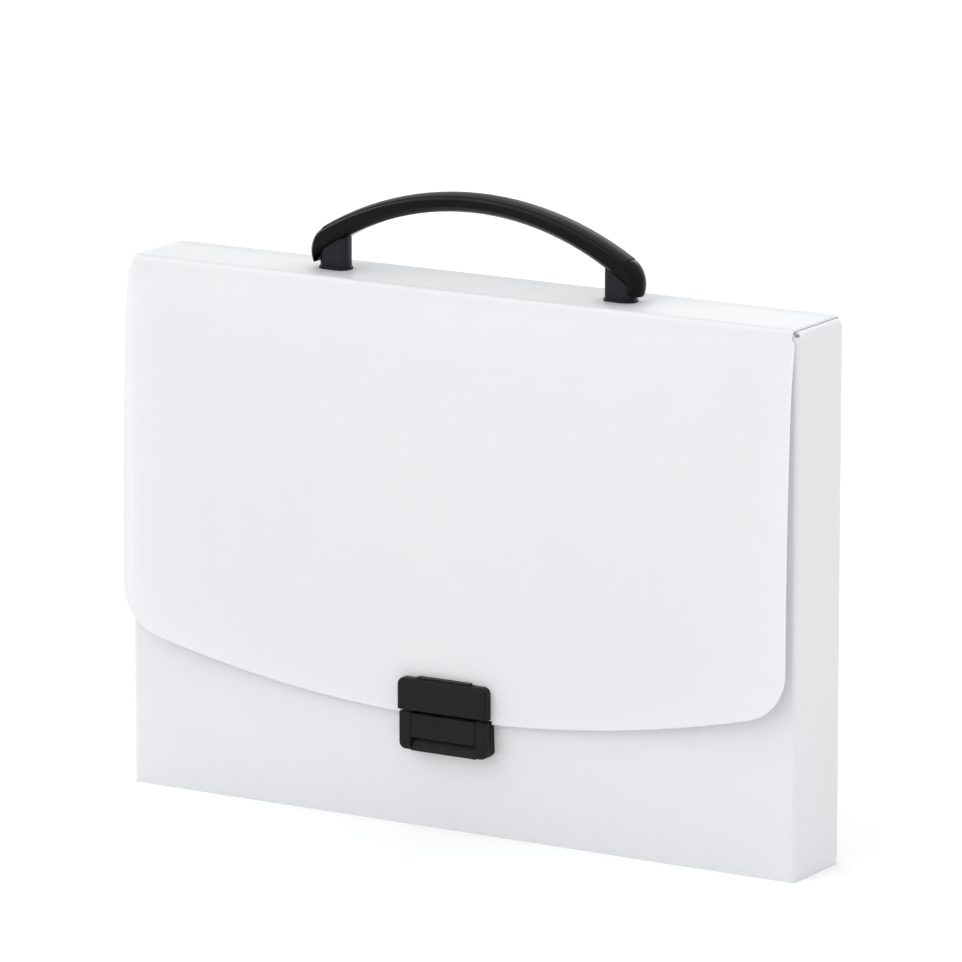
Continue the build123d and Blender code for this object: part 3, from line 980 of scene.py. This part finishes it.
def makeLatchBase():
    low, high = nodeBox("latch_base")
    pocketY = low.y + base["pocketBack"]
    plan = [
        (low.x, low.y), (-base["pocketHalf"], low.y), (-base["pocketHalf"], pocketY),
        (base["pocketHalf"], pocketY), (base["pocketHalf"], low.y), (high.x, low.y),
        (high.x, 0), (low.x, 0),
    ]
    bm = bmesh.new()
    floor = bm.faces.new([bm.verts.new((x, y, low.z)) for x, y in plan])
    pushFace(bm, [floor], (0, 0, high.z - low.z))
    for vert in bm.verts:
        if vert.co.y > -touch:
            vert.co.y = panelDepth(vert.co.x, vert.co.z) + base["seat"]
    corners = [
        edge for edge in edgesWhere(bm, lambda co: co.z < low.z + touch and abs(co.x) > high.x - touch)
    ]
    shapeBevel(bm, corners, base["corner"], base["cornerSteps"])
    shapeBevel(bm, edgesWhere(bm, lambda co: co.y < low.y + touch), base["rim"], 2)
    bm.normal_update()
    wall = facesWhere(
        bm, lambda center, normal: abs(normal.y) < 0.5 and abs(center.x) > base["pocketHalf"] + touch,
    )
    wall = [face for face in wall if face.normal.z < 0.9]
    cut = low.y + base["layerDepth"]
    splitFaces(bm, wall, 1, (cut, cut + base["layerGroove"]))
    bm.normal_update()
    groove = facesWhere(
        bm,
        lambda center, normal: cut < center.y < cut + base["layerGroove"] and normal.z < 0.9
        and abs(center.x) > base["pocketHalf"] + touch,
    )
    bmesh.ops.inset_region(
        bm, faces=groove, thickness=0, depth=-base["layerInset"], use_even_offset=True, use_boundary=True,
    )
    for side in (-1, 1):
        x, z = side * base["studX"], (low.z + high.z) / 2
        neck = high.y - base["headHeight"]
        pinAlong(bm, (x, panelDepth(x, z), z), (x, neck, z), base["studRadius"], base["neckSoft"])
        pinAlong(bm, (x, neck, z), (x, high.y, z), base["headRadius"], base["headSoft"])
    finishPiece("latchBase", bm, "case", ["latch_base"], [latchBlack])


lever = {
    "depth": 3.7,
    "rampTop": 10.7,
    "rampDepth": 2.9,
    "edge": 0.3,
    "gap": 0.15,
    "hubRadius": 1.6,
    "pivotInset": 2.3,
    "pivotDrop": 2.1,
    "half": 16.0,
    "pinRadius": 1.0,
    "soft": 0.22,
    "hubTurns": (-25, 90),
    "hubSteps": 8,
    "pinSink": 0.5,
    "pinSoft": 0.2,
}


def makeLatchLever():
    low, high = nodeBox("latch_lever")
    baseLow, baseHigh = nodeBox("latch_base")
    rampZ = baseHigh.z - lever["rampTop"]
    back = baseLow.y + lever["depth"]
    pivot = (baseLow.y + lever["pivotInset"], baseHigh.z - lever["pivotDrop"])
    section = joined(
        [
            (baseLow.y, high.z),
            (baseLow.y, rampZ),
            (baseLow.y + lever["rampDepth"], rampZ - lever["edge"]),
            (baseLow.y + lever["gap"], baseLow.z),
            (baseLow.y + lever["gap"], low.z),
            (back, low.z),
        ],
        arcPoints(pivot, lever["hubRadius"], *lever["hubTurns"], lever["hubSteps"]),
    )
    bm = bmesh.new()
    side = bm.faces.new([bm.verts.new((-lever["half"], y, z)) for y, z in section])
    pushFace(bm, [side], (2 * lever["half"], 0, 0))
    long = [
        edge for edge in bm.edges
        if abs(edge.verts[0].co.x - edge.verts[1].co.x) > lever["half"]
        and edge.verts[0].co.y < baseLow.y + 2 * lever["edge"]
    ]
    shapeBevel(bm, long, lever["soft"], 2)
    for end in (-1, 1):
        start = (end * (lever["half"] - lever["pinSink"]), *pivot)
        pinAlong(bm, start, (end * high.x, *pivot), lever["pinRadius"], lever["pinSoft"])
    finishPiece("latchLever", bm, "lever", ["latch_lever"], [latchBlack])


makeLatchKeeper()
makeLatchBase()
makeLatchLever()
print("latch is made")


# Carrying handle: arched grip with a ball-like knuckle at each end, its inlay and its posts

handle = {
    "crownRadius": 147.0,
    "knuckleRadius": 12.0,
    "reach": 82.05,
    "thickness": 7.9,
    "palmRadius": 129.0,
    "palmChamfer": 2.5,
    "tipRise": 2.7,
    "heelInset": 6.5,
    "toeInset": 3.6,
    "rimDrop": 2.0,
    "ballGain": 1.7,
    "ballTurn": 75.0,
    "sunk": 0.35,
    "grooveHalf": 5.0,
    "grooveEnd": 75.6,
    "grooveDepth": 1.2,
    "crownStep": 2.4,
    "knuckleSteps": 12,
    "softEdge": 0.35,
    "rimLayers": (6.45, 6.35, 6.15, 5.8, 5.4, 5.15),
    "grooveLayers": (-3.4, -1.7, 0, 1.7, 3.4),
}
inlay = {
    "half": 4.85,
    "end": 75.35,
    "ribPitch": 1.08,
    "ribDepth": 0.10,
    "soft": 0.25,
}
gripLow, gripHigh = nodeBox("handle_grip")
inlayHigh = nodeBox("handle_inlay")[1]
gripHalf = (gripHigh.y - gripLow.y) / 2
gripY = (gripHigh.y + gripLow.y) / 2
crownZ = inlayHigh.z - handle["crownRadius"]
palmZ = inlayHigh.z - handle["thickness"] - handle["palmRadius"]
knuckleX = handle["reach"] - handle["knuckleRadius"]
knuckleZ = crownZ + sqrt((handle["crownRadius"] - handle["knuckleRadius"]) ** 2 - knuckleX ** 2)
tangentTurn = atan2(knuckleX, knuckleZ - crownZ)


def upright(turn):
    return Vector((sin(turn), 0, cos(turn)))


# How far the crown has dropped at this distance from the handle's middle plane
def crownDrop(y, turn):
    share = min(1, max(0, abs(turn) - tangentTurn) / (radians(handle["ballTurn"]) - tangentTurn))
    gain = 1 + (handle["ballGain"] - 1) * share
    edge = max(0, abs(y) - (gripHalf - handle["softEdge"])) / handle["softEdge"]
    rounding = handle["softEdge"] * (1 - sqrt(max(0, 1 - edge ** 2)))
    return handle["rimDrop"] * gain * (y / gripHalf) ** 2 + rounding


# Where the knuckle of this radius meets the tip's flat end or the line from heel to toe
def tipOf(radius, heel, toe):
    knuckle = Vector((knuckleX, 0, knuckleZ))
    down = knuckleZ - toe.z
    if radius > down:
        flat = Vector((knuckleX + sqrt(radius ** 2 - down ** 2), 0, toe.z))
        if flat.x >= toe.x:
            return flat, toe
    run, start = toe - heel, heel - knuckle
    middle = run.dot(start) / run.length_squared
    rest = (start.length_squared - radius ** 2) / run.length_squared
    meeting = heel + run * (sqrt(max(0, middle ** 2 - rest)) - middle)
    return meeting, meeting


# Right half of the grip's outline in one layer: crown, knuckle, tip, heel and palm
def gripHalfOutline(y, inGroove):
    chamfer = max(0, abs(y) - (gripHalf - handle["palmChamfer"]))
    palmRadius = handle["palmRadius"] + chamfer
    heelX = handle["reach"] - handle["heelInset"]
    heelTurn = asin(heelX / handle["palmRadius"])
    heel = Vector((0, 0, palmZ)) + upright(heelTurn) * palmRadius
    toe = Vector((handle["reach"] - handle["toeInset"], 0, lidHigh.z + handle["tipRise"]))
    endTurn = asin(handle["grooveEnd"] / handle["crownRadius"])
    points = []
    crown = Vector((0, 0, crownZ))
    for turn in spaced(0, endTurn, radians(handle["crownStep"])):
        drop = crownDrop(y, turn) + handle["sunk"]
        if inGroove:
            drop = crownDrop(handle["grooveHalf"], turn) + handle["sunk"] + handle["grooveDepth"]
        points.append(crown + upright(turn) * (handle["crownRadius"] - drop))
    for turn in (endTurn, (endTurn + tangentTurn) / 2):
        drop = crownDrop(y, turn) + handle["sunk"]
        points.append(crown + upright(turn) * (handle["crownRadius"] - drop))
    radius = handle["knuckleRadius"] - crownDrop(y, pi / 2) - handle["sunk"]
    tip, toe = tipOf(radius, heel, toe)
    tipTurn = atan2(tip.x - knuckleX, tip.z - knuckleZ)
    for step in range(handle["knuckleSteps"] + 1):
        turn = tangentTurn + (tipTurn - tangentTurn) * step / handle["knuckleSteps"]
        radius = handle["knuckleRadius"] - crownDrop(y, turn) - handle["sunk"]
        points.append(Vector((knuckleX, 0, knuckleZ)) + upright(turn) * radius)
    points += [toe, (toe + heel) / 2]
    for turn in reversed(spaced(0, heelTurn, radians(handle["crownStep"]))):
        points.append(Vector((0, 0, palmZ)) + upright(turn) * palmRadius)
    return points


def wholeOutline(half):
    left = [Vector((-point.x, 0, point.z)) for point in reversed(half[1:-1])]
    return half + left


# Closed solid from outlines of equal length, one for each place across the handle
def stackOutlines(layers):
    bm = bmesh.new()
    order = bm.verts.layers.int.new("order")
    verts = []
    for index, point in enumerate(layers[0][1]):
        vert = bm.verts.new(point + Vector((0, gripY + layers[0][0], 0)))
        vert[order] = index
        verts.append(vert)
    edges = list(bm.faces.new(verts).edges)
    for y, outline in layers[1:]:
        edges = newEdges(bmesh.ops.extrude_edge_only(bm, edges=edges))
        for vert in {vert for edge in edges for vert in edge.verts}:
            vert.co = outline[vert[order]] + Vector((0, gripY + y, 0))
    bmesh.ops.edgeloop_fill(bm, edges=edges)
    bmesh.ops.remove_doubles(bm, verts=bm.verts[:], dist=0.004)
    return bm


def makeHandleGrip():
    groove = handle["grooveHalf"]
    rim = [gripHalf, *handle["rimLayers"], groove]
    layers = [(-y, False) for y in rim]
    layers += [(y, True) for y in (-groove, *handle["grooveLayers"], groove)]
    layers += [(y, False) for y in reversed(rim)]
    bm = stackOutlines([(y, wholeOutline(gripHalfOutline(y, inside))) for y, inside in layers])
    finishPiece("handleGrip", bm, "lid", ["handle_grip"], [glossBlack], sharpAngle=30)


def inlayHalfOutline(y, sink):
    crown = Vector((0, 0, crownZ))
    endTurn = asin(inlay["end"] / handle["crownRadius"])
    softTurn = inlay["soft"] / handle["crownRadius"]
    turns = spaced(0, endTurn - softTurn, radians(handle["crownStep"]))
    tops = [(turn, sink) for turn in turns] + [(endTurn, sink + inlay["soft"])]
    points = []
    for turn, extra in tops:
        points.append(crown + upright(turn) * (handle["crownRadius"] - crownDrop(y, turn) - extra))
    for turn in [endTurn] + turns[::-1]:
        drop = crownDrop(handle["grooveHalf"], turn) + handle["sunk"] + handle["grooveDepth"]
        points.append(crown + upright(turn) * (handle["crownRadius"] - drop))
    return points


def makeHandleInlay():
    half, soft = inlay["half"], inlay["soft"]
    ribs = spaced(-half + soft, half - soft, inlay["ribPitch"] / 2)
    layers = [(-half, soft)]
    layers += [(y, inlay["ribDepth"] * (index % 2)) for index, y in enumerate(ribs)]
    layers.append((half, soft))
    bm = stackOutlines([(y, wholeOutline(inlayHalfOutline(y, sink))) for y, sink in layers])
    finishPiece("handleInlay", bm, "lid", ["handle_inlay"], [satinBlack], sharpAngle=50)


post = {
    "corner": 4.2,
    "cornerSteps": 8,
    "margin": 0.6,
    "plinth": 1.2,
    "neck": 0.5,
    "neckDepth": 0.2,
    "soft": 0.25,
    "seat": 1.0,
}


def makeHandlePost(name, node):
    low, high = nodeBox(node)
    bm = bmesh.new()
    blockBetween(bm, (low.x, low.y, low.z), (high.x, high.y, low.z + post["plinth"]))
    corners = [edge for edge in bm.edges if abs(edge.verts[0].co.z - edge.verts[1].co.z) > touch]
    shapeBevel(bm, corners, post["corner"], post["cornerSteps"])
    bm.normal_update()
    top = facesWhere(bm, lambda center, normal: normal.z > facing)
    rim = [edge for face in top for edge in face.edges]
    shapeBevel(bm, rim, post["soft"], 2)
    bm.normal_update()
    top = facesWhere(bm, lambda center, normal: normal.z > facing)
    inward = post["margin"] + post["neckDepth"] - post["soft"]
    bmesh.ops.inset_region(bm, faces=top, thickness=inward, use_even_offset=True, use_boundary=True)
    top = pushFace(bm, top, (0, 0, post["neck"]))
    middle = Vector(((low.x + high.x) / 2, (low.y + high.y) / 2, 0))
    sizeX = (high.x - low.x) / 2 - post["margin"]
    sizeY = (high.y - low.y) / 2 - post["margin"]
    wide = (sizeX / (sizeX - post["neckDepth"]), sizeY / (sizeY - post["neckDepth"]), 1)
    top = pushFace(bm, top, (0, 0, touch))
    verts = list({vert for face in top for vert in face.verts})
    bmesh.ops.translate(bm, verts=verts, vec=-middle)
    bmesh.ops.scale(bm, vec=wide, verts=verts)
    bmesh.ops.translate(bm, verts=verts, vec=middle)
    top = pushFace(bm, top, (0, 0, 1))
    for vert in {vert for face in top for vert in face.verts}:
        vert.co.z = palmZ + sqrt((handle["palmRadius"] + post["seat"]) ** 2 - vert.co.x ** 2)
    finishPiece(name, bm, "lid", [node], [postBlack])


# Plates and screws keep their own shape and get a finish
def dressNodes(material, *names):
    for name in names:
        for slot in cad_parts[name].material_slots:
            slot.material = material


makeHandleGrip()
makeHandleInlay()
makeHandlePost("handlePostLeft", "handle_post_left")
makeHandlePost("handlePostRight", "handle_post_right")
dressNodes(whitePlate, "handle_plate_left", "handle_plate_right", "base_backplate", "keeper_backplate")
dressNodes(screwSteel, "handle_screws")
print("handle is made")
